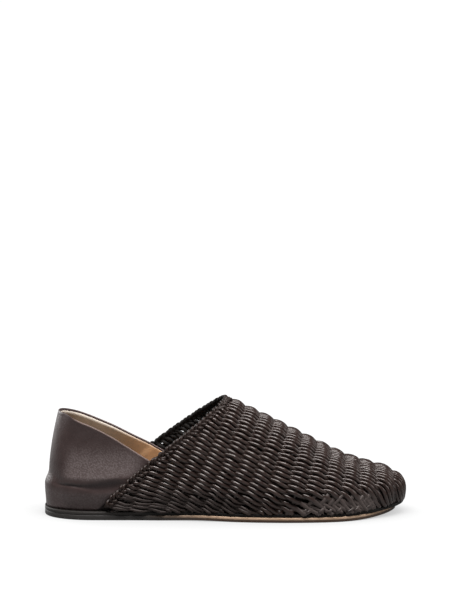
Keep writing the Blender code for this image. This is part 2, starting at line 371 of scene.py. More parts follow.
# %% White floor
FLOOR_ENDS = (0.25, 0.8)
FLOOR_GLOWS = (0.9, 1.0)
FLOOR_SEEN, FLOOR_FELT = 0.1, 0.32
SHADE_REACH = 0.05
SHADE_LOWEST = 0.56
floor_paint = bpy.data.materials.new("white_floor")
floor_paint.use_nodes = True
floor_tree = floor_paint.node_tree
paint = floor_tree.nodes["Principled BSDF"]
paint.inputs["Roughness"].default_value = 0.9
paint.inputs["Specular IOR Level"].default_value = 0.1
paint.inputs["Emission Color"].default_value = (1, 1, 1, 1)
floor_place = new_node(floor_tree, "ShaderNodeTexCoord")
from_shoe = new_node(floor_tree, "ShaderNodeVectorMath", {}, {"Vector": floor_place.outputs["Object"]},
                     operation="LENGTH")
glow = remap(floor_tree, from_shoe.outputs["Value"], *FLOOR_ENDS, *FLOOR_GLOWS, how="SMOOTHSTEP")
floor_seen = new_node(floor_tree, "ShaderNodeLightPath").outputs["Is Camera Ray"]
open_sky = new_node(floor_tree, "ShaderNodeAmbientOcclusion", {"Distance": SHADE_REACH}, samples=8)
shade = remap(floor_tree, open_sky.outputs["AO"], 0.0, 1.0, SHADE_LOWEST, 1.0)
seen_glow = times(floor_tree, times(floor_tree, glow, shade), floor_seen)
floor_tone = remap(floor_tree, floor_seen, 0.0, 1.0, FLOOR_FELT, FLOOR_SEEN)
floor_tree.links.new(floor_tone, paint.inputs["Base Color"])
floor_tree.links.new(seen_glow, paint.inputs["Emission Strength"])
floor.data.materials.append(floor_paint)

# %% Light panels
PANELS = make_table(
    "name place aim width depth power",
    ("top_panel", (0.0, -0.38, 1.3), (0.0, 0.0, 0.03), 1.0, 0.45, 27.0),
    ("heel_panel", (-0.85, 0.9, 0.4), (-0.1, 0.0, 0.04), 0.5, 0.5, 8.0),
    ("toe_panel", (1.1, 0.1, 0.7), (0.1, 0.0, 0.03), 0.5, 0.5, 3.5),
)
for panel in PANELS:
    light = bpy.data.lights.new(panel.name, "AREA")
    light.shape = "RECTANGLE"
    light.size = panel.width
    light.size_y = panel.depth
    light.energy = panel.power
    lamp = new_object(panel.name, light)
    lamp.location = panel.place
    x, y, z = np.subtract(panel.aim, panel.place)
    lamp.rotation_euler = (math.atan2(math.hypot(x, y), -z), 0, math.atan2(-x, y))
print("lights", [panel.name for panel in PANELS])

# %% [markdown]
# ## Building sheets and cords
#
# Two shapes make the whole upper: a sheet, which is a grid laid on the last, and a cord, which is a grid
# rolled round a path. A grid operator makes the faces, and only its points are placed, so both stay clean
# quads. A cord's seam and its two pointed ends are closed by merging doubles, and numbers that the finish and
# the painted shade and sheen need ride on the points as attributes.

# %% Sheet and cord helpers
SEAM = 0.0005 * MM
END_TAPER = 0.75
pieces = []


def lay_grid(mesh, points, marks):
    """Adds a grid with the given points, columns by rows, and stores a value of each mark on them."""
    columns, rows = points.shape[0] - 1, points.shape[1] - 1
    for name in marks:
        if name not in mesh.verts.layers.float:
            mesh.verts.layers.float.new(name)
    layers = {name: mesh.verts.layers.float[name] for name in marks}
    made = bmesh.ops.create_grid(mesh, x_segments=columns, y_segments=rows, size=1.0)["verts"]
    for vertex in made:
        column = round((vertex.co.x + 1) / 2 * columns)
        row = round((vertex.co.y + 1) / 2 * rows)
        vertex.co = points[column, row]
        for name, values in marks.items():
            vertex[layers[name]] = float(values[column, row])


def lengths_along(points):
    """Length of the way from the start of a path to each of its points."""
    steps = np.linalg.norm(np.diff(points, axis=-2), axis=-1)
    return np.insert(np.cumsum(steps, axis=-1), 0, 0.0, axis=-1)


def path_length(points):
    """Length of a path in millimetres."""
    return round(float(lengths_along(points)[-1]) / MM, 1)


def close_up(mesh):
    """Merges seams and poles, then turns the faces outward."""
    bmesh.ops.remove_doubles(mesh, verts=mesh.verts, dist=SEAM)
    bmesh.ops.recalc_face_normals(mesh, faces=mesh.faces)


def add_piece(name, mesh, slot, nodes):
    """Object from a bmesh, riding on the shoe in place of CAD nodes."""
    piece = mesh_object(name, mesh)
    piece.data.shade_smooth()
    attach(piece, "root")
    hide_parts(*nodes)
    pieces.append((piece, slot))
    sides = [round(side / MM, 1) for side in piece.dimensions]
    print(name, "faces", len(piece.data.polygons), "size mm", sides)
    return piece


def add_sheet(name, points, marks, slot, node, thickness):
    """Piece that is one laid sheet, thickened inward."""
    longest = [max(map(path_length, lines)) for lines in (points.swapaxes(0, 1), points)]
    print(name, "flat mm", longest)
    mesh = bmesh.new()
    lay_grid(mesh, points + SHIFT, marks)
    close_up(mesh)
    wall = add_piece(name, mesh, slot, [node]).modifiers.new("thickness", "SOLIDIFY")
    wall.thickness = thickness
    wall.offset = -1


def roll_cord(mesh, path, out, width, thick, sides, marks):
    """Adds a cord along a path: oval, its flat lying square to out, closed to a point at both ends."""
    along = unit(np.gradient(path, axis=0))
    across = unit(np.cross(along, out))
    face = np.cross(across, along)
    round_angles = np.linspace(0, 2 * HALF_TURN, sides + 1)
    taper = np.ones(len(path))
    taper[[0, -1]] = 0
    taper[[1, -2]] = END_TAPER
    half_wide = (width * taper / 2)[:, None, None] * np.cos(round_angles)[None, :, None]
    half_thick = (thick * taper / 2)[:, None, None] * np.sin(round_angles)[None, :, None]
    points = path[:, None, :] + across[:, None, :] * half_wide + face[:, None, :] * half_thick
    shape = points.shape[:2]
    spread = {name: np.broadcast_to(np.asarray(values, float).reshape(-1, 1), shape)
              for name, values in marks.items()}
    # Painted shade: marks the half of each cord that faces into the wall, to be darkened.
    spread["inner"] = np.broadcast_to(-np.sin(round_angles), shape)
    lay_grid(mesh, points + SHIFT, spread)


# %% [markdown]
# ## The rows and ribs of the weave
#
# The front is twined: pairs of cords run from the collar to the toe, and each pair twists half a turn round
# every stiff cross rib. Rows keep an even distance from the ridge of the foot, measured over the surface, so
# they run parallel to the ridge, dive into the sole one after another, and pour down over the nose. Cutting
# the last into slices along the shoe and measuring down each slice gives that distance everywhere.

# %% Slices of the last
SLICE_POINTS = 72
HALVINGS = 44


def find_turn(shape, low_share, high_share, is_short):
    """Station angles, between two shares of half a turn, at which is_short stops being true."""
    low, high = np.full(shape, low_share * HALF_TURN), np.full(shape, high_share * HALF_TURN)
    for _ in range(HALVINGS):
        middle = (low + high) / 2
        short = is_short(middle)
        low, high = np.where(short, middle, low), np.where(short, high, middle)
    return middle


def slice_last(side, places):
    """Points, outward directions and lengths from the ridge, down the slices at places."""
    cap_share = np.clip((FORM_NOSE - places) / TOE_CAP, 0.0, 1.0)
    top_rise = round_off(1 - cap_share, TOE_CAP_POWER)
    angle = np.arcsin(top_rise)[:, None] * np.linspace(1, 0, SLICE_POINTS)[None, :]
    turn = find_turn(angle.shape, 0.0, 1.0, lambda turn: level_x(turn, np.sin(angle)) < places[:, None])
    points, out = on_last(turn, side, angle)
    return points, out, lengths_along(points)


nose_angles = np.linspace(QUARTER_TURN, 0.02, 90)
nose_places = level_x(HALF_TURN, np.sin(nose_angles))
PLACES = np.concatenate([np.arange(38, 203, 1.0) * MM, nose_places[1:]])
SLICES = {side: slice_last(side, PLACES) for side in (-1, 1)}
print("slices", len(PLACES), "longest mm", round(SLICES[-1][2].max() / MM, 1))

# %% Rows and ribs as fields
ROW_GAPS = make_table("x gap", (38, 3.95), (65, 3.75), (90, 3.5), (115, 3.38), (140, 3.35), (170, 3.35),
                      (190, 3.25), (210, 3.1), (252, 2.9))
FOOT_EXTRA_ROWS = 2.4
FOOT_REACH = 26 * MM
DIVE_BAND = 13 * MM
DIVE_PULL = 1.1
BAND_REACH = 1.5 * MM
ROW_SET = 3.4 * MM
FEWEST_POINTS = 8
COLLAR_LOW, COLLAR_RISE = 11 * MM, 68 * MM
RIB_PITCH = 11.3 * MM
RIB_SLANT = 0.45
RIB_ZERO_X = 134.2 * MM
FIRST_RIB, LAST_RIB = -7, 11
ridge_places = np.linspace(0, 260, 521) * MM
ridge_lengths = lengths_along(np.stack([ridge_places, read(SECTIONS, "ridge", ridge_places)], 1))


def rib_number(points):
    """Which rib a point lies on, with fractions between. Ribs lean back from the ridge to the sole."""
    x, z = points[..., 0], points[..., 2]
    ridge_x = x.copy()
    for _ in range(30):
        slant = RIB_SLANT * (1 - ramp(ridge_x, 150, 105))
        ridge_x = x + slant * (read(SECTIONS, "ridge", ridge_x) - z)
    length = np.interp(ridge_x, ridge_places, ridge_lengths)
    return (length - np.interp(RIB_ZERO_X, ridge_places, ridge_lengths)) / RIB_PITCH


def collar_x(z, side):
    """Slanting collar line of the front, seen from the side."""
    share = np.maximum(0.0, (z - COLLAR_LOW) / COLLAR_RISE)
    inner, outer = (line.foot + line.run * share**line.power for line in (INNER_COLLAR, OUTER_COLLAR))
    return np.where(side > 0, inner, outer) * MM


def row_path(side, row):
    """Points and outward directions of a row, from the collar to where it meets the sole."""
    points, out, length = SLICES[side]
    above_sole = length[:, -1:] - length
    tighter = FOOT_EXTRA_ROWS * (1 - ramp(PLACES, 75, 60))[:, None]
    rows_above = length / read(ROW_GAPS, "gap", PLACES)[:, None]
    rows_above = rows_above + tighter * np.maximum(0.0, 1 - above_sole / FOOT_REACH) ** 2
    wanted = [np.interp(row, *slice_rows, right=1.0) for slice_rows in zip(rows_above, length)]
    to_sole = length[:, -1] - wanted
    sunk = np.maximum(0.0, DIVE_BAND - to_sole)
    pull = DIVE_PULL * ramp(PLACES, 150, 38) * ramp(length[:, -1], 12, 24)
    to_sole = to_sole - pull * sunk**2 / DIVE_BAND
    wanted = length[:, -1] - to_sole
    path, facing = [], []
    for index in np.nonzero(to_sole >= 0)[0]:
        share = np.interp(wanted[index], length[index], np.arange(SLICE_POINTS))
        low = min(int(share), SLICE_POINTS - 2)
        path.append(blend(points[index, low], points[index, low + 1], share - low))
        facing.append(blend(out[index, low], out[index, low + 1], share - low))
    if not path:
        return None
    path, facing = np.array(path), np.array(facing)
    kept = np.nonzero(path[:, 0] >= collar_x(path[:, 2], side) + ROW_SET)[0]
    if len(kept) < FEWEST_POINTS:
        return None
    path, facing = path[kept[0]:], facing[kept[0]:]
    path = np.vstack([path, path[-1] - (0, 0, BAND_REACH)])
    return path, np.vstack([facing, facing[-1]])


def resample(path, facing, step):
    """Same path with points an even step apart."""
    length = lengths_along(path)
    places = np.linspace(0, length[-1], max(6, int(length[-1] / step)))
    path, facing = (np.stack([np.interp(places, length, column) for column in values.T], 1)
                    for values in (path, facing))
    return path, unit(facing), places


# %% [markdown]
# ## The twined cords
#
# Each row is two cords. Where a row crosses a rib one cord lies outside and the other inside, and between
# ribs they cross, always the same way round, which gives the slanting grains. Sampling the twist along the
# path and sweeping an oval along it makes real cords with real gaps, seen from both sides of the wall. Near
# the sole at the toe the ribs run out and the cords lie flat.

# %% Twined cords
CORD_STEP = 1.35 * MM
CORD_SIDES = 8
CORD_WIDTH = 3.0 * MM
CORD_THICK = 2.45 * MM
WALL_MIDDLE = 2.9 * MM
TWIST_HEIGHT = 1.85 * MM
TWIST_SWAY = 0.85 * MM
NOSE_SPREAD = 0.35 * MM
NOSE_STACK = 0.85 * MM
NOSE_WIDTH = 2.5 * MM
BAND_SPREAD = 1.15 * MM
BAND_STACK = 0.45 * MM
BAND_WIDTH = 2.7 * MM
FOOT_PUSH = 1.2 * MM
TOE_PUSH = 1.4 * MM
BAND_THICK = 1.6 * MM
NOSE_LIFT = 0.7 * MM
ROW_COUNT = 37
RIDGE_LIFT = 2.0 * MM
RIDGE_CORD = 3.2 * MM
LONGEST_ROW = 0.3
WANDER_STEP, WANDER, WANDER_TWIST = 9 * MM, 0.22 * MM, 0.16
FOOT_WANDER, FOOT_FLATTEN, FOOT_NARROW, FOOT_THIN = 2.2, 0.35, 0.22, 0.15
CROSSING_NARROW, WIDTH_SPREAD, BAND_WIDEN = 0.72, 0.04, 1.5
NOSE_LIE, BAND_LIE = 0.9, 0.6
chance = np.random.default_rng(11)


def wandering(length, reach, step, spread):
    """Slow random drift along a cord, drawn anew at every step."""
    knots = np.arange(0, reach, step)
    return np.interp(length, knots, chance.normal(0, spread, len(knots)))


def rib_strength(points, ribs):
    """How strongly the ribs stand, 1 to 0, and how far a point lies in the flat band above the toe's sole."""
    height = points[:, 2] - midsole_top(points[:, 0])
    low = ramp(points[:, 0], 156, 38) * (1 - ramp(height, 6, 8)) * (1 - ramp(points[:, 0], 222, 18))
    nose = ease((ribs - LAST_RIB + 0.3) / 0.9)
    return (1 - low) * (1 - nose), low


def foot_push(points):
    """How far the weave swells out above the sole, which hides the last's tuck."""
    above = points[:, 2] - midsole_top(points[:, 0])
    swell = FOOT_PUSH + TOE_PUSH * ramp(points[:, 0], 150, 40)
    return swell * (1 - ramp(above, 0, 11)) * (1 - ramp(points[:, 0], 212, 26))


def twine_row(mesh, side, row):
    """Adds a row's two cords and gives their lengths."""
    made = row_path(side, row)
    if made is None:
        return []
    cords = []
    path, facing, length = resample(*made, CORD_STEP)
    ribs = rib_number(path)
    strength, low = rib_strength(path, ribs)
    above = path[:, 2] - midsole_top(path[:, 0])
    # foot also marks painted shade: cords low on the wall towards the back are finished darker and duller.
    foot = (1 - ramp(above, 3, 20)) * (1 - ramp(path[:, 0], 125, 40))
    twist = HALF_TURN * np.minimum(ribs, LAST_RIB)
    across = unit(np.cross(np.gradient(path, axis=0), facing))
    for start in (0.0, HALF_TURN):
        tone = chance.random()
        wander = wandering(length, LONGEST_ROW, WANDER_STEP, WANDER) * (1 + FOOT_WANDER * foot)
        early = wandering(length, LONGEST_ROW, WANDER_STEP, WANDER_TWIST)
        lift = np.cos(twist + early + start)
        beside = math.cos(start)
        flat_height = beside * blend(NOSE_STACK, BAND_STACK, low)
        height = WALL_MIDDLE + NOSE_LIFT * (1 - strength) + blend(flat_height, TWIST_HEIGHT * lift, strength)
        height = height - FOOT_FLATTEN * foot * TWIST_HEIGHT * lift + foot_push(path)
        flat_sway = beside * blend(NOSE_SPREAD, BAND_SPREAD, low)
        sway = blend(flat_sway, TWIST_SWAY * np.sin(twist + early + start), strength) + wander
        cord = path + facing * height[:, None] + across * sway[:, None]
        flat_width = blend(NOSE_WIDTH, BAND_WIDTH, low)
        width = blend(flat_width, CORD_WIDTH * blend(CROSSING_NARROW, 1.0, np.abs(lift)), strength)
        width = width * chance.normal(1, WIDTH_SPREAD)
        width = width * (1 - FOOT_NARROW * foot) * (1 + BAND_WIDEN * low * (1 - low))
        thick = blend(CORD_THICK, BAND_THICK, low) * (1 - FOOT_THIN * foot)
        lift = blend(blend(NOSE_LIE * beside, BAND_LIE, low), lift, strength)
        # Numbers for painted light: depth_shade is painted shade where a cord sinks, band_sheen a painted
        # sheen on the flat band, foot a painted shade low on the wall.
        marks = {"tone": tone, "depth_shade": lift, "foot": foot, "band_sheen": low}
        roll_cord(mesh, cord, facing, width, thick, CORD_SIDES, marks)
        cords.append(path_length(cord))
    return cords


def ridge_cord(mesh):
    """Adds a single plain cord under the ridge, which fills the seam between the two sides."""
    path, facing, _ = resample(*row_path(-1, 0.0), CORD_STEP)
    cord = path + facing * RIDGE_LIFT
    width = np.full(len(cord), RIDGE_CORD)
    # Painted shade: the ridge cord is darkened as if it lay deep.
    roll_cord(mesh, cord, facing, width, width * 0.8, CORD_SIDES, {"depth_shade": -0.4})
    print("ridge cord mm", path_length(cord))


for side, name in ((-1, "cords_outer_side"), (1, "cords_inner_side")):
    cords = bmesh.new()
    lengths = [length for row in range(ROW_COUNT) for length in twine_row(cords, side, row + 0.5)]
    if side < 0:
        ridge_cord(cords)
    close_up(cords)
    print(name, "cords", len(lengths), "mm", min(lengths), "to", max(lengths), "in all", round(sum(lengths)))
    add_piece(name, cords, "woven_leather", ["vamp"])

# %% [markdown]
# ## The ribs inside the twist
#
# The ribs are the stiff cords that the rows wrap. They show only as dark lines in the gaps and inside the
# shoe, so each is one plain cord that follows its own number over the last, from sole to sole. On the toe,
# just above the sole, short flat strands cross the ends of the rows in two tiers.

# %% Cross ribs
RIB_WIDTH = 2.0 * MM
RIB_POINTS = 44
RIB_SIDES = 6
RIB_SET = 2.5 * MM


def rib_path(side, number):
    """Half a rib, from the ridge down to the sole on one side."""
    angle = np.linspace(QUARTER_TURN, 0.03, RIB_POINTS)
    turn = find_turn(RIB_POINTS, 0.25, 1.0, lambda turn: rib_number(last_point(turn, side, angle)) < number)
    path, facing = on_last(turn, side, angle)
    kept = (path[:, 0] >= collar_x(path[:, 2], side) + RIB_SET) & (turn < 0.985 * HALF_TURN)
    return path[kept] + facing[kept] * WALL_MIDDLE, facing[kept]


ribs_mesh = bmesh.new()
rib_lengths = []
for number in range(FIRST_RIB, LAST_RIB + 1):
    for side in (-1, 1):
        path, facing = rib_path(side, number)
        if len(path) > 5:
            thick = np.full(len(path), RIB_WIDTH)
            # Painted shade: the ribs are darkened as lying deep in the weave.
            roll_cord(ribs_mesh, path, facing, thick, thick, RIB_SIDES, {"depth_shade": -0.6})
            rib_lengths.append(path_length(path))
print("half ribs", len(rib_lengths), "mm", min(rib_lengths), "to", max(rib_lengths))


# %% Toe strands
STRAND_POINTS = 12
STRAND_GAP = 6.4 * MM
STRAND_TIERS = [(170 * MM, -0.8 * MM), (182 * MM, 5.5 * MM)]
STRAND_END = 226 * MM
STRAND_THICK = 1.5 * MM
STRAND_ARCH = 2.2 * MM
STRAND_STRAY = 1.3 * MM
STRAND_RISES, STRAND_LEANS = (6, 10), (0.7, 1.3)
STRAND_LIFTS, STRAND_WIDTHS = (1.6, 2.3), (2.5, 3.4)


def crossing_strand(side, start, lean, height):
    """Path up the side of the toe through the given heights, leaning forward as it rises."""
    x = start + lean * (height - height[0])
    angle = angle_at(x, midsole_top(x) + GAP + height)
    turn = find_turn(STRAND_POINTS, 0.3, 1.0, lambda turn: last_point(turn, side, angle)[:, 0] < x)
    return on_last(turn, side, angle)


strand_lengths = []
strand_starts = [(side, start, bottom) for side in (-1, 1) for first, bottom in STRAND_TIERS
                 for start in np.arange(first, STRAND_END, STRAND_GAP)]
arch = np.sin(np.linspace(0.1, 1, STRAND_POINTS) * HALF_TURN)
for side, start, bottom in strand_starts:
    start = start + chance.normal(0, STRAND_STRAY)
    height = np.linspace(bottom, bottom + chance.uniform(*STRAND_RISES) * MM, STRAND_POINTS)
    path, facing = crossing_strand(side, start, chance.uniform(*STRAND_LEANS), height)
    lift = foot_push(path) + chance.uniform(*STRAND_LIFTS) * MM + STRAND_ARCH * arch
    path = path + facing * lift[:, None]
    rise = ramp(height, 0, 6)
    # Painted shade at the low end of each strand and a painted sheen as it rises.
    marks = {"tone": chance.random(), "depth_shade": blend(-0.8, 0.5, rise), "band_sheen": blend(0.3, 1.0, rise)}
    width = chance.uniform(*STRAND_WIDTHS) * MM * blend(0.6, 1.0, arch)
    roll_cord(ribs_mesh, path, facing, width, np.full(STRAND_POINTS, STRAND_THICK), CORD_SIDES, marks)
    strand_lengths.append(path_length(path))
print("toe strands", len(strand_lengths), "mm", min(strand_lengths), "to", max(strand_lengths))
close_up(ribs_mesh)
add_piece("cross_ribs", ribs_mesh, "woven_leather", ["vamp"])

# %% [markdown]
# ## The backing
#
# From the instep to the toe a thin black sheet backs the weave as painted shade, so the gaps between the
# cords read dark. It stops short of the collar, where daylight still glints through the open weave.

# %% Weave backing
BACKING_SET = 22 * MM
BACKING_DEPTH = 0.3 * MM
BACKING_THICK = 0.4 * MM
BACKING_ROWS, BACKING_COLUMNS = 71, 61


def collar_turn(across, shift):
    """Station angles, sides and section angles of a line from sole to sole, shift inside the collar."""
    side = np.where(across > 0, 1.0, -1.0)
    angle = QUARTER_TURN * (1 - np.abs(across))

    def is_short(turn):
        point = last_point(turn, side, angle)
        return point[:, 0] < collar_x(point[:, 2], side) + shift

    return find_turn(len(across), 0.1, 0.85, is_short), side, angle


backing_turn, *backing_line = collar_turn(np.linspace(-1, 1, BACKING_COLUMNS), BACKING_SET)
backing_rows = []
for share in np.linspace(0, 1, BACKING_ROWS):
    points, out = on_last(blend(backing_turn, 0.998 * HALF_TURN, share), *backing_line)
    backing_rows.append(points - BACKING_DEPTH * out)
everywhere = np.ones((BACKING_ROWS, BACKING_COLUMNS))
# The whole sheet is marked for painted shade, so it comes out black.
add_sheet("weave_shade_sheet", np.stack(backing_rows), {"inner": everywhere, "depth_shade": -everywhere}, "woven_leather",
          "vamp", BACKING_THICK)

# %% [markdown]
# ## The plaited border
#
# A flat plait of three cords binds the raw collar edge, from the sole up over the instep and down again. Each
# cord swings from side to side once a period and passes over and under twice, a third of a period behind
# its neighbour, which is all a plait is. A thin strip under them closes the eyes of the plait.

# %% Collar plait
PLAIT_SET = 3.0 * MM
PLAIT_LIFT = 3.5 * MM
PLAIT_PERIOD = 9.6 * MM
PLAIT_SWING = 2.0 * MM
PLAIT_PASS = 0.95 * MM
PLAIT_CORD = 2.1 * MM
PLAIT_CORE = 4.4 * MM
PLAIT_REACH = 0.982
PLAIT_STEP = 0.6 * MM
LONGEST_PLAIT, LOOSE_STEP, LOOSE = 0.4, 7 * MM, 0.3 * MM
plait = bmesh.new()
collar_line = collar_turn(np.linspace(-PLAIT_REACH, PLAIT_REACH, 900), PLAIT_SET)
path, facing, length = resample(*on_last(*collar_line), PLAIT_STEP)
strip = path + facing * (PLAIT_LIFT - PLAIT_PASS)
strip_width = np.full(len(path), PLAIT_CORE)
# Painted shade: the strip under the plait is darkened.
roll_cord(plait, strip, facing, strip_width, strip_width * 0.2, CORD_SIDES, {"depth_shade": -0.8})
across = unit(np.cross(np.gradient(path, axis=0), facing))
for third in range(3):
    loose = wandering(length, LONGEST_PLAIT, LOOSE_STEP, LOOSE)
    swing = 2 * HALF_TURN * (length / PLAIT_PERIOD + third / 3) + loose / MM
    height = PLAIT_LIFT + PLAIT_PASS * np.sin(2 * swing) + 0.6 * loose
    sway = PLAIT_SWING * np.sin(swing) + loose
    cord = path + facing * height[:, None] + across * sway[:, None]
    # Painted shade where each plait cord passes under the others.
    marks = {"tone": 0.3 + 0.2 * third, "depth_shade": np.sin(2 * swing)}
    thick = PLAIT_CORD + 0.5 * loose
    roll_cord(plait, cord, facing, thick * 1.08, thick, CORD_SIDES, marks)
    print("plait cord mm", path_length(cord), "along a collar of", path_length(path))
close_up(plait)
add_piece("plait_cords", plait, "plait_leather", ["collar_plait"])

# %% [markdown]
# ## The leather back
#
# The back is one piece of smooth leather, wrapped over the heel from the sole to the top edge. It bulges over
# the wedge, sinks into a crease above it, sharp beside the heel and soft farther forward, and its top edge
# is folded over. So the wall is drawn as a strip that climbs the last, rolls over the edge and comes down
# a little way inside, and a short table places the crease.

# %% Leather back
BACK_COLUMNS = 180
BACK_ROWS = 120
BACK_END_LOW, BACK_END_HIGH = 53 * MM, 90 * MM
BACK_FOOT = 0.1 * MM
BACK_THICK = 0.5 * MM
TURN_IN = 0.8 * MM
FOLD_RADIUS = 0.8 * MM
FOLD_ROWS = 8
FOLD_DROPS = (0.6, 1.4, 2.4)
CREASE = make_table(
    "x height depth width proud shoulder",
    (3, 25.0, 0.0, 1.8, 3.0, 6.5),
    (7, 24.4, 0.0, 1.4, 2.2, 6.0),
    (12, 23.6, 0.4, 1.0, 0.9, 4.0),
    (20, 23.8, 0.8, 1.0, 0.1, 1.5),
    (27, 23.4, 0.8, 1.3, 0.0, 1.5),
    (36, 23.2, 0.9, 2.8, 0.0, 1.5),
    (52, 25.2, 0.7, 3.6, 0.0, 1.5),
    (66, 27.0, 0.0, 3.4, 0.0, 1.5),
)
BELLY_MIDDLE = 48 * MM
BELLY_LOW = 29 * MM
BELLY_CURVE = 7.5
CREASE_FULL = 0.8 * MM
CORNER_START, CORNER_LONG, CORNER_TALL = 9 * MM, 6 * MM, 6 * MM


def back_columns(share):
    """Station angles and sides of the back's columns at a height share of the wall."""
    across = np.linspace(-1, 1, BACK_COLUMNS + 1)
    end = station_turn(blend(BACK_END_LOW, BACK_END_HIGH, share))
    return np.abs(across) * end, np.where(across > 0, 1.0, -1.0)


def topline(x, side):
    return np.where(side > 0, read(TOPLINE, "inner", x), read(TOPLINE, "outer", x))


def back_heights(share, top_drop):
    """Station angles, sides, places along the shoe and heights of a row round the back."""
    turn, side = back_columns(share)
    x = station_x(turn)
    return turn, side, x, blend(midsole_top(x) + BACK_FOOT, topline(x, side) - top_drop, share)


def in_crease(x, height):
    return np.exp(-(((height - read(CREASE, "height", x)) / read(CREASE, "width", x)) ** 2))


def back_row(share, top_drop, offset):
    """Row round the back at a height share, top_drop under the top edge, offset out from the last."""
    turn, side, x, height = back_heights(share, top_drop)
    foot = midsole_top(x) + BACK_FOOT
    shoulder = read(CREASE, "shoulder", x)
    bulge = ease((read(CREASE, "height", x) + shoulder - height) / (shoulder + 3.5 * MM))
    over_wedge = read(CREASE, "proud", x) * bulge
    sunk = read(CREASE, "depth", x) * in_crease(x, height)
    turned_in = TURN_IN * (1 - ramp(height - foot, 0, 1.6))
    under_front = TURN_IN * ramp(x - collar_x(height, side), 0, 4)
    belly = BELLY_CURVE * (np.maximum(height, BELLY_LOW) - BELLY_MIDDLE) ** 2
    belly = belly * ramp(x, 8, 14) * (1 - ramp(x, 58, 18)) * ramp(height - foot, 0, 14)
    points, facing = on_last(turn, side, angle_at(x, height))
    return points + facing * (offset + over_wedge + belly - sunk - turned_in - under_front)[:, None]


row_shares = np.linspace(0, 1, BACK_ROWS) ** 1.2
rows = [back_row(share, FOLD_RADIUS, 0.0) for share in row_shares]
for roll in np.linspace(0, HALF_TURN, FOLD_ROWS)[1:]:
    row = back_row(1.0, FOLD_RADIUS, -FOLD_RADIUS * (1 - math.cos(roll)))
    row[:, 2] += FOLD_RADIUS * math.sin(roll)
    rows.append(row)
for drop in FOLD_DROPS:
    rows.append(back_row(1.0, FOLD_RADIUS + drop * MM, -2 * FOLD_RADIUS))
back_points = np.stack(rows, 1)

# %% Painted sheen, highlight and shade on the back
back_marks = {name: np.zeros(back_points.shape[:2]) for name in ("fold", "crease_shade", "painted_sheen", "corner")}
fold_rows = slice(BACK_ROWS - 1, BACK_ROWS + FOLD_ROWS - 3)
# Painted highlight along the top of the fold.
back_marks["fold"][:, fold_rows] = ramp(station_x(back_columns(1.0)[0]), 9, 16)[:, None]
for index, share in enumerate(row_shares):
    _, side, x, height = back_heights(share, FOLD_RADIUS)
    over_crease = height - read(CREASE, "height", x)
    # Painted sheen: paler on the belly above the crease, and more faintly below it.
    painted_sheen = ramp(x, 10, 12) * (1 - ramp(x, 60, 16)) * ramp(over_crease, 2, 5) * (1 - ramp(height, 34, 26))
    back_marks["painted_sheen"][:, index] = painted_sheen + 0.45 * (1 - ramp(over_crease, -7, 5))
    # Painted shade in the crease.
    depth = np.minimum(1.0, read(CREASE, "depth", x) / CREASE_FULL)
    back_marks["crease_shade"][:, index] = in_crease(x, height) * depth
    # Painted shade, nearly black, in the corner where the back goes under the front.
    near_front = (x - collar_x(height, side) + CORNER_START) / CORNER_LONG
    back_marks["corner"][:, index] = ease(near_front - (height - midsole_top(x)) / CORNER_TALL)
add_sheet("leather_back", back_points, back_marks, "back_leather", "quarter", BACK_THICK)

# %% [markdown]
# ## The lining
#
# Tan lining leather covers the inside of the back. It stops a little below the fold, so a dark line of outer
# leather shows above it, and a painted highlight makes its top few millimetres paler than its face.

# %% Back lining
LINING_ROWS = 40
LINING_FROM = 0.2
LINING_DROP = 1.5 * MM
LINING_INSET = 1.75 * MM
LINING_THICK = 0.6 * MM
lining_shares = np.linspace(LINING_FROM, 1, LINING_ROWS)
lining_points = np.stack([back_row(share, LINING_DROP, -LINING_INSET) for share in lining_shares], 1)
# Painted highlight: the top few millimetres of the lining are marked to be paler.
painted_edge_highlight = np.broadcast_to(ease((lining_shares - 0.955) / 0.04), lining_points.shape[:2])
add_sheet("back_lining", lining_points, {"edge": painted_edge_highlight}, "lining_leather", "quarter", LINING_THICK)

# %% [markdown]
# ## Sole layers
#
# The sole is cut from flat sheets: the outsole, a thin black midsole that shows as a rand, the wedge under
# the heel and the insole. Each is the last's outline moved in or out, lifted to its thickness, with its rim
# edges rounded by a bevel, as an edge trimmer leaves them.

# %% Sole layer helper
def cut_layer(cells, last_turn, ledge, bottom, top, round_over):
    """Layer with the last's outline between two heights that vary along it, with rounded rims."""
    turn = np.linspace(0, last_turn, cells[0] + 1)
    outer, inner = rim(-turn, ledge), rim(turn, ledge)
    share = np.linspace(0, 1, cells[1] + 1)[None, :, None]
    flat = blend(outer[:, None, :], inner[:, None, :], share)
    points = np.concatenate([flat, bottom(flat[..., :1])], -1)
    mesh = bmesh.new()
    lay_grid(mesh, points, {"level": np.zeros(points.shape[:2])})
    bmesh.ops.remove_doubles(mesh, verts=mesh.verts, dist=0.01 * MM)
    level = mesh.verts.layers.float["level"]
    lifted = bmesh.ops.extrude_face_region(mesh, geom=mesh.faces)["geom"]
    for vertex in (item for item in lifted if isinstance(item, bmesh.types.BMVert)):
        vertex.co.z = float(top(vertex.co.x))
        vertex[level] = 1.0
    bmesh.ops.recalc_face_normals(mesh, faces=mesh.faces)
    corners = [edge for edge in mesh.edges if edge.calc_face_angle(0.0) > math.radians(50)]
    bmesh.ops.bevel(mesh, geom=corners, offset=round_over, offset_type="OFFSET", affect="EDGES",
                    segments=3, profile=0.5, material=-1)
    bmesh.ops.translate(mesh, verts=mesh.verts, vec=SHIFT)
    return mesh


# %% Outsole and midsole
def outsole_top(x):
    return ground(x) + OUTSOLE_THICK


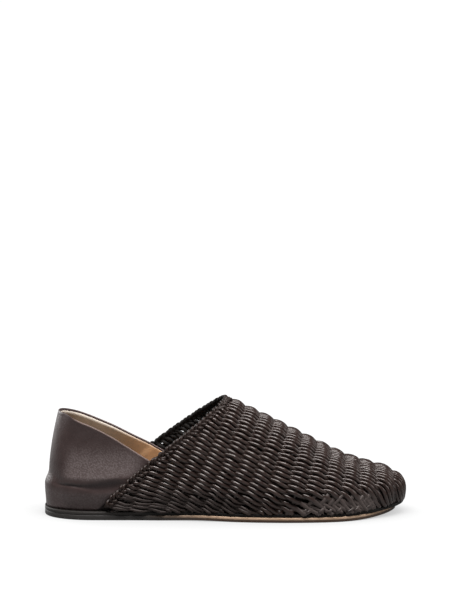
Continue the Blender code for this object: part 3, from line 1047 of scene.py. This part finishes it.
outsole = cut_layer((150, 10), HALF_TURN, ledge_of("sole"), ground, outsole_top, 0.5 * MM)
add_piece("sole_leather_layer", outsole, "sole_leather", ["outsole"])
midsole = cut_layer((150, 8), HALF_TURN, ledge_of("rand"), lambda x: outsole_top(x) + GAP / 3, midsole_top,
                    0.45 * MM)
add_piece("black_rand", midsole, "black_edge", ["midsole"])

# %% Wedge core and footbed
WEDGE_END = 150 * MM
FOOTBED_THICK = 2.5 * MM


def wedge_ledge(x):
    inside = -read(SECTIONS, "tuck", x) - 2.2 * MM
    return blend(1.0 * MM, inside, ramp(x, 2, 16))


def wedge_top(x):
    return midsole_top(x) + wedge_lift(x)


wedge = cut_layer((90, 8), station_turn(WEDGE_END), wedge_ledge, lambda x: midsole_top(x) + GAP, wedge_top,
                  0.3 * MM)
add_piece("wedge_core", wedge, "heel_leather", ["heel_wedge"])
footbed = cut_layer((120, 10), HALF_TURN, ledge_of("insole"), lambda x: wedge_top(x) + GAP,
                    lambda x: wedge_top(x) + GAP + FOOTBED_THICK, 0.8 * MM)
footbed_piece = add_piece("footbed", footbed, "lining_leather", ["insole"])

# %% [markdown]
# ## Finishes
#
# All the leathers share one grain: small pebbles for the bump, slow mottling of the dye, and a few scuffs. It
# is a node group that reads a position and gives back a height and two masks, and each leather uses it at
# its own size. Where a finish follows the making, or a painted sheen, highlight or shade follows the shape, a
# number stored on the piece's points says where.

# %% Leather grain
grain = bpy.data.node_groups.new("leather_grain", "ShaderNodeTree")
grain.interface.new_socket("Place", in_out="INPUT", socket_type="NodeSocketVector")
for way, numbers in (("INPUT", ("Pebbles", "Mottles")), ("OUTPUT", ("Height", "Mottle", "Scuff"))):
    for number in numbers:
        grain.interface.new_socket(number, in_out=way, socket_type="NodeSocketFloat")
grain_in, grain_out = grain.nodes.new("NodeGroupInput"), grain.nodes.new("NodeGroupOutput")
SCUFF_ENDS = (0.62, 0.78)


def grain_texture(size, kind, values=None, **settings):
    """Outputs of a texture at one of the grain's two sizes."""
    links = {"Vector": grain_in.outputs["Place"], "Scale": grain_in.outputs[size]}
    return new_node(grain, kind, values, links, **settings).outputs


pebbles = grain_texture("Pebbles", "ShaderNodeTexVoronoi", feature="SMOOTH_F1")
creases = grain_texture("Pebbles", "ShaderNodeTexNoise", {"Detail": 4.0})
height = new_node(grain, "ShaderNodeMath", operation="SUBTRACT",
                  links={0: creases["Fac"], 1: pebbles["Distance"]})
mottles = grain_texture("Mottles", "ShaderNodeTexNoise", {"Detail": 3.0, "Roughness": 0.6})
scuffs = grain_texture("Mottles", "ShaderNodeTexNoise", {"Detail": 6.0, "Roughness": 0.7, "Distortion": 1.5})
grain.links.new(height.outputs[0], grain_out.inputs["Height"])
grain.links.new(mottles["Fac"], grain_out.inputs["Mottle"])
grain.links.new(remap(grain, scuffs["Fac"], *SCUFF_ENDS), grain_out.inputs["Scuff"])

# %% Leather maker
DYE_ENDS = (0.3, 0.72)
PEBBLE_HEIGHT = 0.15 * MM
Leather = namedtuple("Leather", "material tree shader skin")
leathers = {}


def new_leather(name, pebble_size, mottle_size, dark, light, rough, bump, shine=0.5):
    """Leather with its own colours, grain sizes in millimetres, range of roughness, bump and shine."""
    material = bpy.data.materials.new(name)
    material.use_nodes = True
    tree = material.node_tree
    shader = tree.nodes["Principled BSDF"]
    shader.inputs["Specular IOR Level"].default_value = shine
    place = new_node(tree, "ShaderNodeTexCoord")
    sizes = {"Pebbles": 1 / (pebble_size * MM), "Mottles": 1 / (mottle_size * MM)}
    skin = new_node(tree, "ShaderNodeGroup", sizes, {"Place": place.outputs["Object"]}, node_tree=grain)
    dye = new_node(tree, "ShaderNodeValToRGB", links={"Fac": skin.outputs["Mottle"]})
    for element, position, colour in zip(dye.color_ramp.elements, DYE_ENDS, (dark, light)):
        element.position = position
        element.color = (*colour, 1)
    tree.links.new(dye.outputs["Color"], shader.inputs["Base Color"])
    tree.links.new(remap(tree, skin.outputs["Mottle"], 0.0, 1.0, *rough), shader.inputs["Roughness"])
    relief = new_node(tree, "ShaderNodeBump", {"Strength": bump, "Distance": PEBBLE_HEIGHT},
                      {"Height": skin.outputs["Height"]})
    tree.links.new(relief.outputs["Normal"], shader.inputs["Normal"])
    leathers[name] = Leather(material, tree, shader, skin)
    return leathers[name]


# %% Masks, stains and painted light
PEBBLE_TOPS = (-0.05, 0.3)


def marked(leather, name, low, high):
    """Mask from a number stored on a piece's points, 0 at low and 1 at high."""
    stored = new_node(leather.tree, "ShaderNodeAttribute", attribute_name=name)
    return remap(leather.tree, stored.outputs["Fac"], low, high, how="SMOOTHSTEP")


def along_shoe(leather, low, high):
    """Mask along the shoe, 0 at low and 1 at high, in millimetres from the back of the heel."""
    place = new_node(leather.tree, "ShaderNodeTexCoord")
    parts = new_node(leather.tree, "ShaderNodeSeparateXYZ", {}, {"Vector": place.outputs["Object"]})
    ends = [float(end * MM + SHIFT[0]) for end in (low, high)]
    return remap(leather.tree, parts.outputs["X"], *ends, how="SMOOTHSTEP")


def on_pebbles(leather, mask):
    """Same mask, but only on the tops of the pebbles."""
    return times(leather.tree, mask, remap(leather.tree, leather.skin.outputs["Height"], *PEBBLE_TOPS))


def stain_or_painted_light(leather, mask, colour, strength=1.0, rough=None):
    """Lays a colour over a leather's own where the mask is 1, and dulls it there if rough is given; it lays
    real stains and painted sheen, highlight and shade alike.
    """
    socket = leather.shader.inputs["Base Color"]
    links = {0: remap(leather.tree, mask, 0.0, 1.0, 0.0, strength), 6: socket.links[0].from_socket}
    lay = new_node(leather.tree, "ShaderNodeMix", {7: (*colour, 1)}, links, data_type="RGBA")
    leather.tree.links.new(lay.outputs[2], socket)
    if rough is not None:
        socket = leather.shader.inputs["Roughness"]
        links = {0: mask, 2: socket.links[0].from_socket}
        lay = new_node(leather.tree, "ShaderNodeMix", {3: rough}, links, data_type="FLOAT")
        leather.tree.links.new(lay.outputs[0], socket)


# %% [markdown]
# ## Smooth leathers
#
# The back is a soft calf with a fine pebble. It has a painted sheen on its belly and pebble tops, a painted
# highlight along the fold, painted shade in the crease and near-black painted shade in the corner where it
# goes under the front. The lining is natural leather, greyer round the heel and warmer towards the foot
# opening, with a painted highlight along its top edge, and the footbed is plain tan.

# %% Back and lining leather
back_leather = new_leather("back_leather", 0.95, 14, (0.044, 0.025, 0.023), (0.066, 0.0425, 0.0405),
                           (0.38, 0.5), 0.8, shine=0.4)
# Painted sheen on the belly, brightest on the pebble tops as a painted highlight.
painted_sheen = marked(back_leather, "painted_sheen", 0.0, 1.0)
stain_or_painted_light(back_leather, painted_sheen, (0.12, 0.092, 0.09), 0.6)
stain_or_painted_light(back_leather, on_pebbles(back_leather, painted_sheen), (0.21, 0.175, 0.17), 0.45)
# Painted shade darkens the crease.
stain_or_painted_light(back_leather, marked(back_leather, "crease_shade", 0.1, 1.0), (0.012, 0.006, 0.006), 0.85)
# Painted highlight: a pale line along the top of the fold.
stain_or_painted_light(back_leather, marked(back_leather, "fold", 0.2, 1.0), (0.24, 0.17, 0.15), 0.7)
stain_or_painted_light(back_leather, back_leather.skin.outputs["Scuff"], (0.1, 0.075, 0.07), 0.35)
# Painted shade in the corner under the front, nearly black and dull.
stain_or_painted_light(back_leather, marked(back_leather, "corner", 0.1, 0.9), (0.006, 0.003, 0.003), 0.97, rough=0.95)

new_leather("heel_leather", 0.75, 16, (0.03, 0.02, 0.018), (0.05, 0.035, 0.033), (0.4, 0.52), 0.3)
lining_leather = new_leather("lining_leather", 0.7, 10, (0.175, 0.116, 0.072), (0.265, 0.184, 0.122),
                             (0.55, 0.7), 0.2)
# Painted highlight: cream along the lining's top edge.
stain_or_painted_light(lining_leather, marked(lining_leather, "edge", 0.1, 1.0), (0.85, 0.75, 0.64), 0.85)
stain_or_painted_light(lining_leather, along_shoe(lining_leather, 40, 85), (0.61, 0.33, 0.153), 0.85)
footbed_leather = new_leather("footbed_leather", 0.7, 14, (0.25, 0.157, 0.093), (0.34, 0.224, 0.138),
                              (0.55, 0.7), 0.2)
for leather in (lining_leather, footbed_leather):
    stain_or_painted_light(leather, leather.skin.outputs["Scuff"], (0.38, 0.24, 0.15), 0.3)

# %% [markdown]
# ## Cord leathers
#
# The cords are narrow rolled strips, glossy on top. Painted shade makes them nearly black where they sink into
# the weave, on the sides that face into the wall and low on the wall towards the back, and a painted sheen
# lightens the flat band above the toe's sole. Strips cut from different parts of a hide differ a little, so
# each cord carries its own tone.

# %% Cord leathers
cord_leather = new_leather("woven_leather", 0.8, 6, (0.0152, 0.0068, 0.005), (0.028, 0.0141, 0.0111),
                           (0.24, 0.35), 0.05, shine=0.58)
plait_leather = new_leather("plait_leather", 0.8, 5, (0.011, 0.0051, 0.0037), (0.0225, 0.0115, 0.0087),
                            (0.4, 0.52), 0.05, shine=0.36)
for leather in (cord_leather, plait_leather):
    leather.shader.inputs["Specular Tint"].default_value = (1.0, 0.94, 0.91, 1)
    stain_or_painted_light(leather, marked(leather, "tone", 0.2, 1.0), (0.045, 0.027, 0.022), 0.35)
    # Painted shade: nearly black where a cord sinks under its neighbour or into the wall.
    stain_or_painted_light(leather, marked(leather, "depth_shade", 0.1, -0.9), (0.004, 0.002, 0.0015), 0.85)
    # Painted shade: cords low on the wall towards the back are darker, and duller.
    stain_or_painted_light(leather, marked(leather, "foot", 0.0, 1.0), (0.01, 0.0045, 0.0035), 0.5, rough=0.62)
    # Painted sheen: the flat band above the toe's sole is lighter and greyer.
    stain_or_painted_light(leather, marked(leather, "band_sheen", 0.2, 1.0), (0.085, 0.066, 0.061), 0.6, rough=0.55)
    # Painted shade: the sides of the cords that face into the wall are nearly black and dull.
    stain_or_painted_light(leather, marked(leather, "inner", -0.4, 0.3), (0.003, 0.002, 0.0015), rough=0.9)

# %% [markdown]
# ## Sole leathers
#
# The edge of the sole is stained: dark all round the heel, then natural with a brown line along the bottom,
# under a black rand.

# %% Sole leathers
black_edge = new_leather("black_edge", 0.6, 8, (0.003, 0.0025, 0.002), (0.008, 0.006, 0.005),
                         (0.45, 0.65), 0.1, shine=0.2)
stain_or_painted_light(black_edge, along_shoe(black_edge, 85, 62), (0.036, 0.032, 0.03))
sole_leather = new_leather("sole_leather", 0.6, 10, (0.4, 0.26, 0.165), (0.55, 0.38, 0.265),
                           (0.45, 0.65), 0.1, shine=0.3)
stain_or_painted_light(sole_leather, marked(sole_leather, "level", 0.68, 0.5), (0.05, 0.03, 0.02), 0.95)
stain_or_painted_light(sole_leather, sole_leather.skin.outputs["Scuff"], (0.25, 0.16, 0.1), 0.4)
stain_or_painted_light(sole_leather, along_shoe(sole_leather, 130, 66), (0.04, 0.036, 0.034))

# %% A leather for each piece
for piece, slot in pieces:
    leather = footbed_leather if piece == footbed_piece else leathers[slot]
    piece.data.materials.append(leather.material)
print("leathers", list(leathers))
